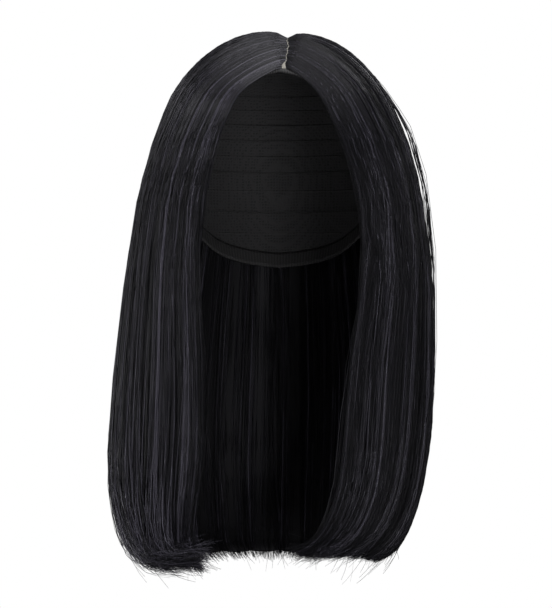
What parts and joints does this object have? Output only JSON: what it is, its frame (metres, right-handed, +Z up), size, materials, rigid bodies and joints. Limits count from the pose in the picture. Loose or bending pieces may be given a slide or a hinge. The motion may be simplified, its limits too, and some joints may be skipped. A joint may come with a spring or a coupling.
{
  "type": "synthetic wig",
  "caption": "Straight black long bob wig with a centre parting, hair framing an open face and ends turned under, worn over a head on a hollow cap with an edge band.",
  "frame": {"origin": "the crown of the head, where the inside of the cap sits on it", "axes": "+Z up along the standing head, -Y towards the face, +X towards the viewer's right when the face is seen"},
  "size_m": [0.2148, 0.1919, 0.3514],
  "materials": {
    "hair_fibre": "black synthetic fibre with a soft sheen",
    "cap_net": "matt black stretch net with sewn wefts",
    "edge_tape": "matt black woven tape",
    "skin_fabric": "pale matt skin-tone fabric"
  },
  "bodies": {
    "root": {"cap_dome": "cap_net", "parting_strip": "skin_fabric", "edge_band": "edge_tape", "left_front_hair": "hair_fibre", "left_side_hair": "hair_fibre", "right_front_hair": "hair_fibre", "right_side_hair": "hair_fibre", "back_hair": "hair_fibre"}
  },
  "joints": []
}
